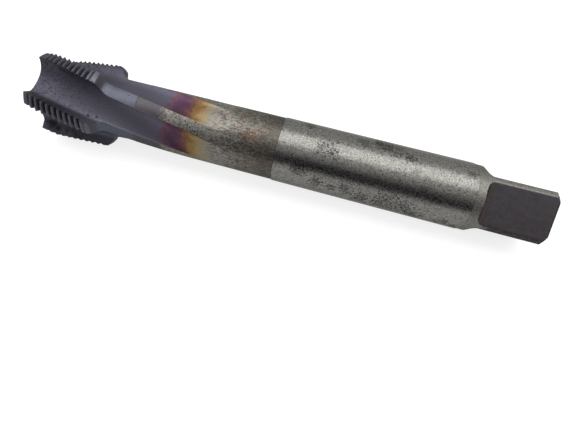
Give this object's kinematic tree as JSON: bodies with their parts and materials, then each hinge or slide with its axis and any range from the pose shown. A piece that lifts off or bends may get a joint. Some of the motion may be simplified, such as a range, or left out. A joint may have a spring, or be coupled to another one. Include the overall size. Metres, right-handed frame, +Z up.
{
  "type": "machine thread tap",
  "caption": "Machine tap with a fluted, threaded cutting head, a slimmer neck, a plain round shank and a square driving end.",
  "frame": {"origin": "centre of the front face of the cutting end, on the tool's axis", "axes": "+X along the axis from the cutting end to the driving square, +Z up and +Y to the back as the tap lies"},
  "size_m": [0.125, 0.0219, 0.0217],
  "materials": {
    "tool_steel": "worn"
  },
  "bodies": {
    "root": {"thread_tap": "tool_steel"}
  },
  "joints": []
}
